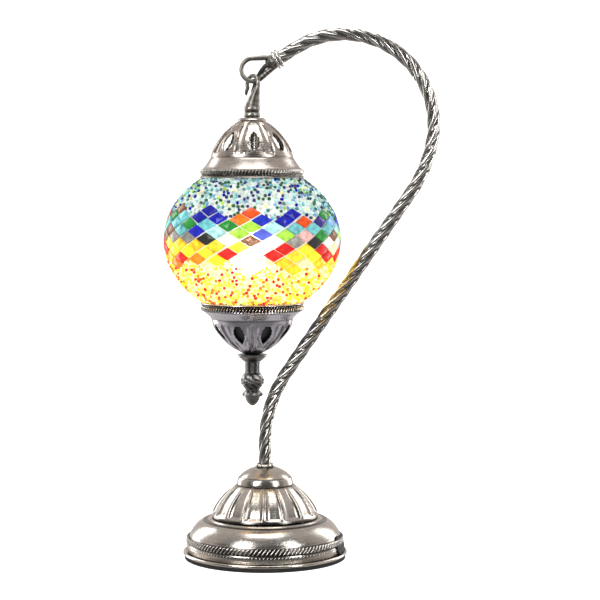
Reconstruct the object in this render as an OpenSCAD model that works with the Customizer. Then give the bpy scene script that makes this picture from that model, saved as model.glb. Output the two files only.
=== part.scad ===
// Mosaic glass table lamp on a swan neck arm. Millimetres, +Z up.
// The origin is the centre of the base's resting face. The arm bends in the XZ plane.

/* [Base] */
// Radius of the base at its rolled rim
base_r = 61; // [58:0.5:66]
// Radius of the lower shell's wall
shell_r = 58; // [55:0.5:59]
// Height of the lower shell's top edge above the table
shell_top = 28.5; // [26:0.5:30]
// Radius of the fluted dome at its foot
dome_r = 39.8; // [38:0.2:41]
// Height at which the small cap sits on the dome
cap_z = 54.6; // [54.6:0.2:56]
// Bore of the cord gland at the back of the base's right side
gland_bore = 5.1; // [4.8:0.1:5.4]

/* [Arm] */
// Outer radius of the twisted arm
arm_r = 5; // [4.6:0.1:5.2]
// Radius of the bore that carries the lead
arm_bore_r = 3.2; // [2.6:0.1:3.4]
// Lean of the straight stretch from upright, in degrees
arm_lean = 34.5; // [33:0.5:36]
// Length of the straight stretch
arm_straight = 161.5; // [160:0.5:163]
// Centreline radius of the swan neck bend
arm_bend_r = 66; // [65.5:0.5:67]

/* [Lantern] */
// Centreline X of the hanging lantern
lantern_x = -9.2; // [-10:0.1:-8.6]
// Outer half width of the mosaic globe
globe_a = 65.4; // [62:0.2:66]
// Outer half height of the mosaic globe, if it ran on to its poles
globe_b = 56; // [54:0.5:57]
// Height of the globe's widest line
globe_z = 235.5; // [234:0.5:237]
// Mosaic tiles in one row
tile_count = 24; // [20:1:26]
// Rows of tiles
tile_rows = 9; // [5:2:9]
// Radius of the metal caps at their ribbed rims
cap_rim_r = 38.4; // [37:0.2:39]

/* [Hidden] */

$fn = 96;
gap = 0.05;               // hairline between pieces that touch in one body
sheet = 0.9;              // spun sheet metal
steps = 12;               // points on a curved outline

// base heights
pad_h = 2.75;
plate_z = 2.8;
plate_t = 1;
plate_dish_r = 19;
plate_dish_z = 9;
rim_r = 1.2;
collar_z = 68.4;
nipple_r = 5;
spigot_r = arm_bore_r - gap;
nipple_bore_r = 2.3;
lead_r = 1.9;
arm_start_z = 64;

// arm segments: [length] is straight, [radius, turn] bends, a right turn being negative
arm_segments = [[21], [94, -arm_lean], [arm_straight], [92, 22.5], [2], [arm_bend_r, 133], [20]];
splice = 0.3;
slim = 0.02;
arm_start = [0, arm_start_z, 90];

// eye at the arm's end: it lies in the arm's plane
eye_c = [-8.6, 360];
eye_r = 8.3;
eye_wire_r = 1.75;

// crook hook: its plane stands at an angle to the arm's plane
hook_turn = -50;
hook_bend_r = 6.5;
hook_wire_r = 1.5;
hook_bend_z = eye_c.y - eye_r + 4.1 - hook_bend_r;
bell_z = 325.2;
bell_top = 334;

// lantern heights
cap_dome_a = 30.2;
top_dome_b = 30;
bottom_dome_b = 27.5;
cap_power = 1.5;
leaf_w = 9;
leaf_h = 15;
top_leaf_z = 12.6;
bottom_leaf_z = 11;
liner_top = 178;
top_band_z = 281;
bottom_band_z = 190;
band_h = 6.5;
top_cap_turn = 5;
bottom_cap_turn = 24.5;
top_skirt = 8.5;
bottom_skirt = 5.8;
neck_r = 35.6;
glass_t = 3;
tile_t = 1.6;
grout_t = 1.2;
glass_inset = tile_t + grout_t + 0.15;
tile_w = 16.2;
tile_h = 9.2;
row_pitch = 4.9;
rows_mid_z = 237.1;
tile_turn = -7;
row_lean = 2.7;           // drop of each row towards +X, where the globe is widest
nipple2_r = 4;
bridge_w = 12;
bridge_t = 1.2;
finial_top = 151.2;

// cord gland
gland_az = 27;
gland_z = 9;
gland_c = [55, 29, gland_z];      // middle of its rounded mouth

// ---- outlines and paths ----

// One quarter of a superellipse, from its widest point up to the angle given
function bulge(a, b, power, last = 90) =
  [for (i = [0 : steps]) let (t = last * i / steps)
    [a * pow(cos(t), 2 / power), b * pow(sin(t), 2 / power)]];

function lift(points, r, z) = [for (p = points) [p.x + r, p.y + z]];
function unit(v) = v / norm(v);

// The outline moved inwards by the sheet's thickness
function inset(points, t) =
  [for (i = [0 : len(points) - 1])
    let (a = points[max(i - 1, 0)], b = points[min(i + 1, len(points) - 1)],
         d = unit(b - a))
    points[i] + t * [-d.y, d.x]];

function reversed(points) = [for (i = [len(points) - 1 : -1 : 0]) points[i]];

// State after one arm segment: [x, z, heading]
function after(s, seg) =
  len(seg) == 1
    ? [s.x + seg[0] * cos(s.z), s.y + seg[0] * sin(s.z), s.z]
    : let (side = sign(seg[1]), c = bend_centre(s, seg), h = s.z + seg[1])
      [c.x + side * seg[0] * sin(h), c.y - side * seg[0] * cos(h), h];
function bend_centre(s, seg) =
  [s.x - sign(seg[1]) * seg[0] * sin(s.z), s.y + sign(seg[1]) * seg[0] * cos(s.z)];
function arm_state(n) = n == 0 ? arm_start : after(arm_state(n - 1), arm_segments[n - 1]);

// Half width of the globe at a height, for the layer that lies inset below the outside
function globe_r(z, inset) =
  (globe_a - inset) * sqrt(1 - pow((z - globe_z) / (globe_b - inset), 2));

// Heights from one level to another, evenly
function levels(z0, z1, n) = [for (i = [0 : n]) z0 + (z1 - z0) * i / n];
function globe_line(z0, z1, inset, least = neck_r + 0.1, n = 44) =
  [for (z = levels(z0, z1, n)) [max(globe_r(z, inset), least), z]];

// ---- shared shapes ----

module spun(points) rotate_extrude() polygon(points);

module spun_sheet(outer, t = sheet) spun(concat(outer, reversed(inset(outer, t))));

module ring(r, wire, z) translate([0, 0, z]) rotate_extrude() translate([r, 0]) circle(wire);

module pipe(ro, ri, z0, z1) translate([0, 0, z0]) difference() {
  cylinder(r = ro, h = z1 - z0);
  if (ri > 0) translate([0, 0, -1]) cylinder(r = ri, h = z1 - z0 + 2);
}

// A rod or tube along the arm's line. The straight stretches are a hair slimmer in the wall and
// run a little way into the bends, so that the whole length joins into one solid.
module along_arm(r, bore = 0) for (i = [0 : len(arm_segments) - 1]) {
  s = arm_state(i);
  seg = arm_segments[i];
  if (len(seg) == 1) {
    head = i == 0 ? 0 : splice;
    tail = i == len(arm_segments) - 1 ? 0 : splice;
    translate([s.x, 0, s.y]) rotate([0, 90 - s.z, 0]) translate([0, 0, -head])
      linear_extrude(head + seg[0] + tail)
        annulus(r - slim, bore > 0 ? bore + slim : 0);
  } else {
    c = bend_centre(s, seg);
    first = s.z - sign(seg[1]) * 90;
    translate([c.x, 0, c.y]) rotate([90, 0, 0])
      rotate([0, 0, min(first, first + seg[1])])
        rotate_extrude(angle = abs(seg[1])) translate([seg[0], 0]) annulus(r, bore);
  }
}

module annulus(r, bore) difference() {
  circle(r);
  if (bore > 0) circle(bore);
}

// A faceted tube through points, with a radius at each, rings square to the line
module swept(points, radii, side_axis, sides = 8) {
  n = len(points);
  verts = [for (i = [0 : n - 1])
    let (t = unit(points[min(i + 1, n - 1)] - points[max(i - 1, 0)]),
         u = unit(cross(side_axis, t)), v = cross(t, u))
    for (k = [0 : sides - 1])
      points[i] + radii[i] * (cos(360 * k / sides) * u + sin(360 * k / sides) * v)];
  walls = [for (i = [0 : n - 2]) for (k = [0 : sides - 1])
    let (a = i * sides + k, b = i * sides + (k + 1) % sides)
    [a, a + sides, b + sides, b]];
  ends = [[for (k = [0 : sides - 1]) k],
          [for (k = [sides - 1 : -1 : 0]) (n - 1) * sides + k]];
  polyhedron(verts, concat(walls, ends));
}

module cord(points, r, sides = 8) swept(points, [for (p = points) r], [0, 0, 1], sides);

module on_lantern() translate([lantern_x, 0, 0]) children();

// ---- base ----

module base_pad() color("#1b1b1c") cylinder(r = base_r - 1.2, h = pad_h);

module bottom_plate() color("#9a958e") {
  pipe(base_r - rim_r, plate_dish_r, plate_z, plate_z + plate_t);
  pipe(plate_dish_r + plate_t, plate_dish_r, plate_z, plate_dish_z + plate_t);
  pipe(plate_dish_r + plate_t, nipple_r + gap, plate_dish_z, plate_dish_z + plate_t);
  ring(base_r - rim_r, rim_r, plate_z + rim_r);
}

module base_shell() color("#a8a097") {
  foot = plate_z + 2 * rim_r + gap;
  wall = [[shell_r - 0.6, foot], [shell_r, foot + 3]];
  shoulder = lift(bulge(14, 19.5, 1.7, 84), shell_r - 14, 9);
  ledge = [[dome_r + 4.6, shell_top - 0.4], [dome_r + 2.2, shell_top + 0.6],
           [dome_r - 1, shell_top + 1.2], [dome_r - 5, shell_top + 1.2]];
  difference() {
    spun_sheet(concat(wall, shoulder, ledge));
    rotate([0, 0, gland_az]) translate([shell_r - 8, 0, gland_z])
      rotate([0, 90, 0]) cylinder(d = gland_bore + 1.2, h = 12);
  }
}

module base_weight() color("#4a4a4c") pipe(45, 21, plate_z + plate_t + gap, 14);

module base_dome() color("#a8a097") {
  foot = shell_top + 1.2 + sheet + gap;
  curve = [for (p = lift(bulge(dome_r, 33, 1.65, 53.5), 0, 29)) if (p.y > foot + 1) p];
  top = curve[len(curve) - 1];
  spun_sheet(concat([[dome_r, foot]], curve, [[nipple_r + 4, top.y]]));
}

module base_cap() color("#b0a89f") {
  curve = lift(bulge(20.6, 8, 2, 66), 0, cap_z + 4);
  difference() {
    spun_sheet(concat([[21, cap_z]], curve, [[arm_r - 1, cap_z + 12.4]]));
    cylinder(r = arm_r + gap, h = 90);
  }
}

module arm_nipple() color("#8d8a84") difference() {
  union() {
    pipe(nipple_r, 0, 3.6, arm_start_z - gap);
    pipe(spigot_r, 0, arm_start_z - 1, arm_start_z + 9);
  }
  translate([0, 0, 3]) cylinder(r = nipple_bore_r, h = 90);
  translate([0, 0, 30]) rotate([0, 90, 0]) cylinder(r = lead_r + 0.3, h = 10);
}

module nipple_washer() color("#8d8a84") pipe(10, nipple_r + gap, plate_dish_z - 1.3, plate_dish_z - gap);

module nipple_nut() color("#8d8a84") difference() {
  translate([0, 0, 4]) cylinder(r = 8.6, h = plate_dish_z - 5.4, $fn = 6);
  cylinder(r = nipple_r + gap, h = 20);
}

module terminal_block() color("#e8e4da") translate([24, -2, 14 + gap]) {
  difference() {
    cube([16, 14, 9]);
    for (y = [3.5, 10.5]) translate([8, y, 5]) cylinder(r = 1.6, h = 5);
  }
}

module inner_leads() color("#222222") {
  cord([[48.6, 24.8, 9], [47.8, 23, 13], [46.6, 17, 16.5], [45.5, 10, 18.3], [43, 5.4, 18.6],
        [40.4, 5, 18.6]], 1.7);
  cord([[23.6, 4, 18.6], [20, 3.8, 19], [16, 2.6, 22], [12, 1, 26.5], [8.4, 0, 29.4],
        [5.4, 0, 30]], 1.6);
}

// ---- arm ----

module arm_collar() color("#b0a89f") difference() {
  ring(arm_r + 0.7, 1.5, collar_z);
  cylinder(r = arm_r + gap, h = 90);
}

module arm_tube() color("#8f8b84") along_arm(arm_r, arm_bore_r);

module arm_lead() color("#1c1c1c") along_arm(lead_r);

// The arm's last point, with X along its heading
module at_arm_end() {
  s = arm_state(len(arm_segments));
  translate([s.x, 0, s.y]) rotate([0, -s.z, 0]) rotate([0, 90, 0]) children();
}

module arm_end_collar() color("#a39c8f") at_arm_end() difference() {
  for (z = [-4.2, -1.5]) ring(arm_r + 0.6, 1.45, z);
  translate([0, 0, -8]) cylinder(r = arm_r + gap, h = 12);
}

// Teardrop eye: a round wire bow, two branches to a drilled boss against the arm's end
module arm_end_eye() color("#7d7a74") {
  s = arm_state(len(arm_segments));
  c = eye_c;
  d = [s.x, s.y] - c;
  far = norm(d) - 2.2;
  lean = atan2(d.y, d.x);
  root = 3.9;
  reach = norm([far, root]);
  open = atan2(root, far) + acos(eye_r / reach);
  straight = sqrt(reach * reach - eye_r * eye_r);
  translate([c.x, 0, c.y]) rotate([0, -lean, 0]) {
    rotate([90, 0, 0]) rotate([0, 0, open])
      rotate_extrude(angle = 360 - 2 * open) translate([eye_r, 0]) circle(eye_wire_r);
    for (side = [-1, 1])
      rotate([0, -side * open, 0]) translate([eye_r, 0, 0])
        rotate([side > 0 ? 180 : 0, 0, 0])
          cylinder(r1 = eye_wire_r, r2 = eye_wire_r + 0.35, h = straight);
  }
  at_arm_end() difference() {
    union() {
      translate([0, 0, gap]) cylinder(r = arm_r + 0.6, h = 2.2);
      translate([0, 0, 2]) cylinder(r1 = arm_r + 0.6, r2 = 2.9, h = 4);
    }
    translate([0, 0, -1]) cylinder(r = lead_r + 0.35, h = 9);
  }
}

// Lead that bridges from the boss, through the eye, down into the hook's horn
hook_flex_route = [[0.4, 0.1, 362.4], [-0.4, 0.9, 361.6], [-1.4, 2.1, 360.4], [-2.8, 3.1, 358.4],
                   [-4.4, 3.9, 355.6], [-6, 4.1, 351.8], [-7.3, 3.6, 347.6],
                   [-8.4, 2.8, 343.8], [-8.8, 2.5, 342.2]];
module hook_flex() color("#161616")
  swept(hook_flex_route, [for (p = hook_flex_route) lead_r - 0.1], [0, 1, 0], 8);

// ---- lantern ----

function hook_point(u, z) =
  [lantern_x + (eye_c.x - lantern_x) * (z > 345 ? 1 : 0.5) + u * cos(hook_turn),
   u * sin(hook_turn), z];

module crook_hook() color("#8a857c") {
  bend = [for (a = [-10 : 14 : 200])
    [hook_bend_r * cos(a), hook_bend_z + hook_bend_r * sin(a), hook_wire_r]];
  shank = [[0, bell_top - 0.5, 5.4], [2.2, 339, 4.3], [4.6, 344.4, 2.8]];
  tip = [[-6.9, 344.6, 1.4], [-7.3, 342.4, 0.9]];
  path = concat(shank, bend, tip);
  swept([for (p = path) hook_point(p[0], p[1])], [for (p = path) p[2]],
        [-sin(hook_turn), cos(hook_turn), 0], 12);
  on_lantern() difference() {
    union() {
      pipe(5.6, 0, bell_z, bell_top - 0.4);
      ring(4.3, 2, bell_z + 2.1);
      ring(4.3, 2, bell_z + 6.9);
    }
    translate([0, 0, bell_z - 1]) cylinder(r = nipple2_r + gap, h = 7);
  }
}

module lantern_nipple() color("#8d8a84") on_lantern()
  pipe(nipple2_r, 2.4, 293, bell_z + 5.9);

module nipple_locknut() color("#8d8a84") on_lantern() difference() {
  translate([0, 0, 317.6]) cylinder(r = 7, h = 3.5, $fn = 6);
  cylinder(r = nipple2_r + gap, h = 400);
}

// Leaf shaped opening, drawn point up, serrated along both sides
module leaf(w, h) {
  teeth = 5;
  side = [for (i = [0 : 2 * teeth]) let (t = i / (2 * teeth))
    [w / 2 * pow(sin(180 * (0.12 + 0.88 * t)), 0.8) * (i % 2 == 0 ? 1 : 0.84), h * (t - 0.5)]];
  polygon(concat(side, [for (p = reversed(side)) [-p.x - 0.01, p.y]]));
}

// Cap outline from the ribbed rim up to the collar, z measured from the rim's edge
function cap_outline(skirt, dome_b) =
  let (base = band_h + skirt)
  concat([[cap_rim_r, 0], [cap_rim_r, band_h - 0.8], [cap_rim_r - 1.2, band_h],
          [cap_dome_a + 1.2, base - 0.8], [cap_dome_a + 0.6, base]],
         lift(bulge(cap_dome_a, dome_b, cap_power, 72), 0, base + 0.4));

module pierced_cap(skirt, dome_b, leaf_z, turn) difference() {
  spun_sheet(concat(cap_outline(skirt, dome_b),
                    [[nipple2_r + 0.1, band_h + skirt + dome_b - 1]]));
  for (k = [0 : 7]) rotate([0, 0, turn + 45 * k])
    translate([12, 0, band_h + skirt + leaf_z]) rotate([90, 0, 90])
      linear_extrude(30) leaf(leaf_w, leaf_h);
}

module top_cap() color("#8b8178") on_lantern() translate([0, 0, top_band_z])
  pierced_cap(top_skirt, top_dome_b, top_leaf_z, top_cap_turn);

module bottom_cap() color("#9a9a9e") on_lantern() translate([0, 0, bottom_band_z])
  mirror([0, 0, 1]) pierced_cap(bottom_skirt, bottom_dome_b, bottom_leaf_z, bottom_cap_turn);

// Dark cup inside the bottom cap, behind its openings, with a sleeve that stands on the cap
module bottom_liner() color("#1d1d20") on_lantern() {
  translate([0, 0, liner_top]) mirror([0, 0, 1])
    spun_sheet(concat(bulge(27.4, 24.5, cap_power, 66), [[nipple2_r + 0.3, 22.2]]), 0.8);
  pipe(6, nipple2_r + 0.2, 153, 156.4);
}

// Sprung strap that grips a glass neck from inside: a flat, two legs and two feet
module bridge(leg_x, flat_z, foot_z, foot_x) difference() {
  up = flat_z > foot_z ? 1 : -1;
  low = min(flat_z, foot_z);
  tall = abs(flat_z - foot_z);
  union() {
    translate([-leg_x, -bridge_w / 2, flat_z - (up > 0 ? bridge_t : 0)])
      cube([2 * leg_x, bridge_w, bridge_t]);
    for (s = [-1, 1]) {
      translate([s > 0 ? leg_x - bridge_t : -leg_x, -bridge_w / 2, low])
        cube([bridge_t, bridge_w, tall]);
      translate([s > 0 ? leg_x - bridge_t : -foot_x, -bridge_w / 2, foot_z - (up > 0 ? 0 : bridge_t)])
        cube([foot_x - leg_x + bridge_t, bridge_w, bridge_t]);
    }
  }
  translate([0, 0, flat_z - 5]) cylinder(r = nipple2_r + gap, h = 10);
}

module top_bridge() color("#a5a5a2") on_lantern() bridge(26, 300, 272.5, 33.5);

module bottom_bridge() color("#a5a5a2") on_lantern() bridge(25.5, 179.5, 198.5, 33.5);

module lampholder() color("#26262a") on_lantern() difference() {
  union() {
    pipe(13, 0, 262, 290);
    pipe(8.5, 0, 290 - gap, 298.6);
  }
  translate([0, 0, 255]) cylinder(r = 7.4, h = 32);
  translate([0, 0, 285]) cylinder(r = nipple2_r + gap, h = 20);
}

module bulb_base() color("#c9c6bf") on_lantern() {
  pipe(7, 0, 259, 283);
  pipe(3, 0, 283, 285);
}

module bulb_glass() color("#fff3d8") on_lantern() {
  r = 21;
  c = 229;
  neck = 8.5;
  spun(concat([[0, c - r]], [for (a = [-84 : 12 : 60]) [r * cos(a), c + r * sin(a)]],
              [[neck, 256], [neck, 259 - gap], [0, 259 - gap]]));
}

module glass_globe() color("#e9eef0") on_lantern() {
  inner = glass_inset + glass_t;
  top = top_band_z - 1.5;
  low = bottom_band_z + 1.5;
  outer_line = concat([[neck_r, low - 6]], globe_line(low, top, glass_inset), [[neck_r, top + 6]]);
  bore = neck_r - glass_t;
  inner_line = concat([[bore, top + 6]], globe_line(top, low, inner, bore + 0.1),
                      [[bore, low - 6]]);
  spun(concat(outer_line, inner_line));
}

module layer(z0, z1, outside, inside) on_lantern()
  spun(concat(globe_line(z0, z1, outside, neck_r + 0.35),
              globe_line(z1, z0, inside, neck_r + 0.15)));

rows_half = (tile_rows - 1) / 2 * row_pitch + tile_h / 2 + row_lean;

module grout() color("#f2f0ea")
  layer(bottom_band_z + 0.6, top_band_z - 0.6, tile_t + gap, tile_t + grout_t);

module bead_band_upper() color("#7fa3c8")
  layer(rows_mid_z + rows_half + 0.2, top_band_z - 0.6, 0, tile_t);

module bead_band_lower() color("#e0a060")
  layer(bottom_band_z + 0.6, rows_mid_z - rows_half - 0.2, 0, tile_t);

row_colours = ["#c9812f", "#d8a93c", "#cf4a2a", "#d9b23f", "#b9b4ad",
               "#7fb6a4", "#7cb08c", "#3d57b8", "#3f57a0"];

// Rows count from the bottom. Each second row stands half a tile further round, and the two
// outermost rows have only every second tile.
module tile_row(k) color(row_colours[(k - 1) % 9]) on_lantern() {
  every = k == 1 || k == tile_rows ? 2 : 1;
  surface = tile_t + gap / 2;
  pitch_deg = 360 / tile_count;
  for (i = [0 : every : tile_count - 1]) {
    turn = tile_turn + pitch_deg * (i + (k % 2) / 2);
    z = rows_mid_z + (k - (tile_rows + 1) / 2) * row_pitch - row_lean * cos(turn);
    r = globe_r(z, surface);
    slope = atan2((z - globe_z) / pow(globe_b - surface, 2), r / pow(globe_a - surface, 2));
    rotate([0, 0, turn]) translate([r, 0, z]) rotate([0, 90 - slope, 0]) rotate([0, 0, 90])
      linear_extrude(tile_t)
        polygon([[tile_w / 2 * r / globe_a, 0], [0, tile_h / 2],
                 [-tile_w / 2 * r / globe_a, 0], [0, -tile_h / 2]]);
  }
}

module bottom_stud() color("#8d8a84") on_lantern() pipe(nipple2_r, 0, finial_top - 6, 180.9);

// Turned finial, which is also the nut that holds the bottom cap up
module finial() color("#8e8e92") on_lantern() difference() {
  spun([[0, 112.6], [1.8, 112.9], [3.6, 114.2], [4.9, 116.4], [5.4, 118.6], [6.6, 120],
        [7, 121.4], [6.4, 122.8], [5.2, 124.2], [5.6, 125.8], [7.8, 128.4], [8.6, 131.6],
        [7.9, 134.8], [6.2, 137.2], [5.5, 138.4], [5.5, 146], [6.6, 147], [7.2, 148.4],
        [9.6, 149.6], [9.8, finial_top], [0, finial_top]]);
  translate([0, 0, finial_top - 7]) cylinder(r = nipple2_r + gap, h = 10);
}

// ---- cord gland ----

// The lower shell's outside, moved outwards, as a solid of revolution
module shell_solid(out) spun([[0, -5], [shell_r + out, -5], [shell_r + out, 9],
  [shell_r + out - 0.75, 14], [shell_r + out - 2.3, 18], [shell_r + out - 3.95, 21], [0, 21]]);

// Moulded gland: a thin pad that hugs the shell's right side and a bored mouth at its back end
module cord_gland() color("#18181a") difference() {
  union() {
    intersection() {
      shell_solid(1.15);
      for (i = [0 : 5]) rotate([0, 0, -18 + 8.2 * i]) translate([40, 0, 12 - 0.6 * i])
        rotate([0, 90, 0]) cylinder(r = 6.6 - 0.3 * i, h = 30);
    }
    rotate([0, 0, gland_az]) translate([shell_r - 0.2, 0, gland_z]) rotate([0, 90, 0])
      cylinder(r = 4.3, h = 4);
    translate(gland_c) sphere(4.1);
  }
  shell_solid(0.15);
  pipe(90, 0, -10, gland_z - 3.7);
  rotate([0, 0, gland_az]) translate([shell_r - 8, 0, gland_z]) rotate([0, 90, 0])
    cylinder(d = gland_bore, h = 30);
}

// ---- what is drawn ----
base_pad();
bottom_plate();
base_shell();
base_weight();
base_dome();
base_cap();
arm_nipple();
nipple_washer();
nipple_nut();
terminal_block();
inner_leads();
arm_collar();
arm_tube();
arm_lead();
arm_end_collar();
arm_end_eye();
hook_flex();
crook_hook();
lantern_nipple();
nipple_locknut();
top_cap();
top_bridge();
lampholder();
bulb_base();
bulb_glass();
glass_globe();
grout();
bead_band_upper();
bead_band_lower();
for (k = [1 : tile_rows])
  tile_row(k);
bottom_cap();
bottom_liner();
bottom_bridge();
bottom_stud();
finial();
cord_gland();
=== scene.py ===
import bpy
import math
import random
from itertools import product
import numpy as np
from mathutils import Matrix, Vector
from mathutils.geometry import delaunay_2d_cdt


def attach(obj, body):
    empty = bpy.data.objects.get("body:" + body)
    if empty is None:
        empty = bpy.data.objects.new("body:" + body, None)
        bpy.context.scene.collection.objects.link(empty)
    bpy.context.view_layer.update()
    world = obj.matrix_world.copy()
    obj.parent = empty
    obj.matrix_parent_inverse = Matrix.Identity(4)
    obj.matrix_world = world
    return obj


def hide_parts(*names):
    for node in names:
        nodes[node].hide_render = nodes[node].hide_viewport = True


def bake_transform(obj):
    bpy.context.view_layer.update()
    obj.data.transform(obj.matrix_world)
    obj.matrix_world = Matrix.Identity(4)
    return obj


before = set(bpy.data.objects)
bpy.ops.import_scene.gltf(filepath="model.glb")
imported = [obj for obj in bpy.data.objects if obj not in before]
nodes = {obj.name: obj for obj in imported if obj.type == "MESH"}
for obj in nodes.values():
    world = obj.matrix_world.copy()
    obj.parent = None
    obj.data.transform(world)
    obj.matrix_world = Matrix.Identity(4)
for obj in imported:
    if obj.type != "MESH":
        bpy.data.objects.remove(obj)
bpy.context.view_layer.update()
scene = bpy.context.scene

# All lengths below are millimetres, and MM turns them into the frame's metres.
MM = 0.001
TAU = 2 * math.pi
LX = -9.2                      # the lantern's centreline
rng = random.Random(7)


def p3(x, y, z):
    return Vector((x * MM, y * MM, z * MM))


def in_scene(name, data):
    obj = bpy.data.objects.new(name, data)
    scene.collection.objects.link(obj)
    return obj


def aimed(name, data, place_at, aim):
    """A camera or a light at a place, turned towards a point."""
    obj = in_scene(name, data)
    obj.location = place_at
    obj.rotation_euler = (Vector(aim) - Vector(place_at)).to_track_quat("-Z", "Y").to_euler()
    return obj


# ---- camera
cam_data = bpy.data.cameras.new("camera")
cam_data.sensor_width = 36
cam_data.lens = 114.1
scene.camera = aimed("camera", cam_data, (0.026, -1.4, 0.288), (0.026, 0.0, 0.1912))


# ---- materials
def new_material(name):
    mat = bpy.data.materials.new(name)
    mat.use_nodes = True
    tree = mat.node_tree
    return mat, tree, tree.nodes["Principled BSDF"]


def wire(tree, node, inputs):
    """Fills a node's inputs: an output is linked, and a number or a colour is set."""
    for key, value in inputs.items():
        socket = node.inputs[key]
        if isinstance(value, bpy.types.NodeSocket):
            tree.links.new(value, socket)
        else:
            socket.default_value = (*value, 1) if isinstance(value, tuple) else value
    return node


def add(tree, kind, inputs=None, **settings):
    node = tree.nodes.new(kind)
    for key, value in settings.items():
        setattr(node, key, value)
    return wire(tree, node, inputs or {})


def spread(tree, value, low, high, to_low=0.0, to_high=1.0):
    return add(tree, "ShaderNodeMapRange",
               {"Value": value, "From Min": low, "From Max": high, "To Min": to_low,
                "To Max": to_high}).outputs["Result"]


def noise(tree, scale, detail=3.0, stretch=(1, 1, 1), rough=0.5):
    coords = add(tree, "ShaderNodeTexCoord")
    mapping = add(tree, "ShaderNodeMapping", {"Vector": coords.outputs["Object"]})
    mapping.inputs["Scale"].default_value = stretch
    return add(tree, "ShaderNodeTexNoise",
               {"Scale": scale, "Detail": detail, "Roughness": rough,
                "Vector": mapping.outputs["Vector"]}).outputs["Fac"]


def cloud(tree, scale, detail, to_low=0.0, to_high=1.0):
    """Soft patches that run from one value to another."""
    return spread(tree, noise(tree, scale, detail), 0.3, 0.7, to_low, to_high)


def height(tree, low, high, to_low=0.0, to_high=1.0):
    """A value that runs with the height in the frame, in metres."""
    coords = add(tree, "ShaderNodeTexCoord")
    split = add(tree, "ShaderNodeSeparateXYZ", {0: coords.outputs["Object"]})
    return spread(tree, split.outputs["Z"], low, high, to_low, to_high)


def blend_colour(tree, share, a, b, mode="MIX"):
    """Mixes two colours. The colour sockets of the mix node are its inputs 6 and 7."""
    mix = add(tree, "ShaderNodeMix", data_type="RGBA", blend_type=mode)
    return wire(tree, mix, {0: share, 6: a, 7: b}).outputs[2]


def attribute(tree, name, output="Fac"):
    return add(tree, "ShaderNodeAttribute", attribute_name=name).outputs[output]


def bump(tree, bsdf, relief, strength, distance):
    node = add(tree, "ShaderNodeBump",
               {"Height": relief, "Strength": strength, "Distance": distance})
    wire(tree, bsdf, {"Normal": node.outputs["Normal"]})


def metal(name, light, tint, dark, rough=(0.16, 0.36), brush=0.25, patches=30, shade_grime=1.0):
    """Antique plate: a light and a tinted tone in soft patches, with painted shade in the recesses.
    """
    mat, tree, bsdf = new_material(name)
    tones = spread(tree, noise(tree, patches, 4), 0.35, 0.65)
    colour = blend_colour(tree, tones, light, tint)
    rings = noise(tree, 60, 4, (1, 1, 40), 0.7)
    colour = blend_colour(tree, spread(tree, rings, 0.3, 0.8, 0.0, 0.35), colour, dark)
    speck = spread(tree, noise(tree, 900, 3), 0.58, 0.72, 0.0, 0.6)
    colour = blend_colour(tree, speck, colour, dark)
    # Painted shade: a per-point attribute blends towards near black in recesses, grooves, gaps,
    # creases and inner faces; on a few cast pieces it also gives a patchy darker tone.
    if shade_grime:
        shade_share = spread(tree, attribute(tree, "shade_grime"), 0.0, 1.0, 0.0, shade_grime)
        colour = blend_colour(tree, shade_share, colour, (0.025, 0.023, 0.02))
    wire(tree, bsdf, {"Metallic": 1.0, "Base Color": colour,
                      "Roughness": spread(tree, rings, 0.3, 0.7, *rough)})
    bump(tree, bsdf, rings, brush, 0.0004)
    return mat


def plastic(name, colour, rough, grain=2200, depth=0.00008, strength=0.35):
    mat, tree, bsdf = new_material(name)
    lighter = tuple(c * 1.35 + 0.004 for c in colour)
    wire(tree, bsdf, {"Base Color": blend_colour(tree, cloud(tree, 60, 3), colour, lighter),
                      "Roughness": cloud(tree, 300, 2, rough - 0.06, rough + 0.08),
                      "Specular IOR Level": 0.25})
    bump(tree, bsdf, noise(tree, grain, 2), strength, depth)
    return mat


def see_through(tree, bsdf, share, tint=(1, 1, 1)):
    """Lets a share of what lies behind show through, tinted."""
    clear = add(tree, "ShaderNodeBsdfTransparent", {"Color": tint})
    mix = add(tree, "ShaderNodeMixShader",
              {0: share, 1: bsdf.outputs[0], 2: clear.outputs[0]})
    wire(tree, tree.nodes["Material Output"], {"Surface": mix.outputs[0]})


def height_glow(tree, low, high):
    """Glow of the lit globe: strongest level with the bulb and below it, weaker near the top."""
    return height(tree, 0.262, 0.222, low, high)


def glass_colour(name, glow, share, body=0.5, rough=0.12, wave=260, depth=0.0006, milk=0.1):
    """Stained glass: its colour comes from each tile or bead, lit from inside."""
    mat, tree, bsdf = new_material(name)
    tint = attribute(tree, "tint", "Color")
    deep = blend_colour(tree, 1.0, tint, (body, body, body), "MULTIPLY")
    streak = spread(tree, noise(tree, wave, 3), 0.3, 0.72)
    light = blend_colour(tree, milk, tint, (1.0, 1.0, 1.0))
    wire(tree, bsdf, {"Base Color": blend_colour(tree, streak, deep, tint),
                      "Emission Color": blend_colour(tree, streak, deep, light),
                      "Emission Strength": height_glow(tree, *glow),
                      "Roughness": rough, "Specular IOR Level": 0.25})
    bump(tree, bsdf, noise(tree, wave * 1.6, 2), 0.5, depth)
    see_through(tree, bsdf, share, blend_colour(tree, 0.35, tint, (1.0, 1.0, 1.0)))
    return mat


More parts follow.
